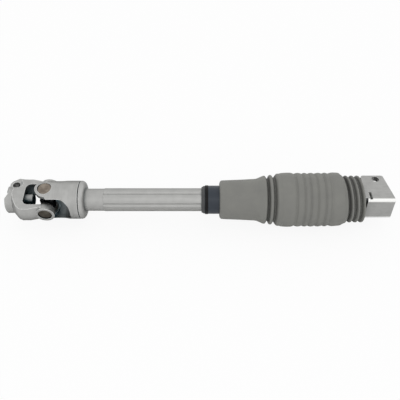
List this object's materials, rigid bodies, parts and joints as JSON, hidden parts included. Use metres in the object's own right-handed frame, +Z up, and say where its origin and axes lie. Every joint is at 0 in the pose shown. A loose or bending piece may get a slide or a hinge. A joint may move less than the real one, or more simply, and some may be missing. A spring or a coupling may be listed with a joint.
{
  "type": "intermediate steering shaft",
  "caption": "Telescoping steering shaft with a universal joint and clamp yoke at each end, one joint under a bellows boot.",
  "frame": {"origin": "on the shaft axis, level with the pinch bolt of the upper clamp", "axes": "+X along the shaft axis from the upper clamp to the lower clamp, +Z up when it lies as pictured, +Y to the back"},
  "size_m": [0.4191, 0.0596, 0.0596],
  "materials": {
    "yoke_steel": "phosphated and oiled, satin",
    "drawn_steel": "cold drawn, satin",
    "cup_steel": "dark, oiled",
    "bearing_steel": "ground",
    "cross_steel": "case hardened, black and greasy",
    "boot_rubber": "moulded, matte",
    "seal_rubber": "moulded, matte",
    "ring_plastic": "moulded, matte",
    "cap_plastic": "moulded, satin",
    "sleeve_nylon": "moulded, waxy"
  },
  "bodies": {
    "tube": {"outer_tube": "drawn_steel", "tube_yoke": "yoke_steel", "tube_end_cap": "cap_plastic", "retaining_ring": "ring_plastic", "wiper_seal": "seal_rubber", "boot": "boot_rubber", "tube_yoke_cup_front": "cup_steel", "tube_yoke_needles_front": "bearing_steel", "tube_yoke_seal_front": "seal_rubber", "tube_yoke_cup_back": "cup_steel", "tube_yoke_needles_back": "bearing_steel", "tube_yoke_seal_back": "seal_rubber"},
    "shaft": {"inner_shaft": "drawn_steel", "slip_sleeve": "sleeve_nylon", "damper_bush": "seal_rubber", "collar_end_plate": "yoke_steel", "collar_yoke": "yoke_steel", "collar_yoke_cup_top": "cup_steel", "collar_yoke_needles_top": "bearing_steel", "collar_yoke_seal_top": "seal_rubber", "collar_yoke_cup_bottom": "cup_steel", "collar_yoke_needles_bottom": "bearing_steel", "collar_yoke_seal_bottom": "seal_rubber"},
    "upper_cross": {"upper_cross": "cross_steel"},
    "upper_clamp": {"upper_clamp_yoke": "yoke_steel", "clamp_yoke_cup_front": "cup_steel", "clamp_yoke_needles_front": "bearing_steel", "clamp_yoke_seal_front": "seal_rubber", "clamp_yoke_cup_back": "cup_steel", "clamp_yoke_needles_back": "bearing_steel", "clamp_yoke_seal_back": "seal_rubber"},
    "lower_cross": {"lower_cross": "cross_steel"},
    "lower_clamp": {"lower_clamp_yoke": "yoke_steel", "lower_yoke_cup_top": "cup_steel", "lower_yoke_needles_top": "bearing_steel", "lower_yoke_seal_top": "seal_rubber", "lower_yoke_cup_bottom": "cup_steel", "lower_yoke_needles_bottom": "bearing_steel", "lower_yoke_seal_bottom": "seal_rubber"}
  },
  "joints": [
    {"name": "shaft_slide", "type": "slide", "parent": "tube", "child": "shaft", "axis": [1, 0, 0], "range_m": [-0.025, 0.025]},
    {"name": "collar_hinge", "type": "hinge", "parent": "shaft", "child": "upper_cross", "pos_m": [0.035, 0, 0], "axis": [0, -0.1219, 0.9925], "range_deg": [-28, 28]},
    {"name": "upper_clamp_hinge", "type": "hinge", "parent": "upper_cross", "child": "upper_clamp", "pos_m": [0.035, 0, 0], "axis": [0, -0.9925, -0.1219], "range_deg": [-28, 28]},
    {"name": "tube_hinge", "type": "hinge", "parent": "tube", "child": "lower_cross", "pos_m": [0.342, 0, 0], "axis": [0, 1, 0], "range_deg": [-28, 28], "deforming": ["boot"]},
    {"name": "lower_clamp_hinge", "type": "hinge", "parent": "lower_cross", "child": "lower_clamp", "pos_m": [0.342, 0, 0], "axis": [0, 0, 1], "range_deg": [-28, 28], "deforming": ["boot"]}
  ]
}
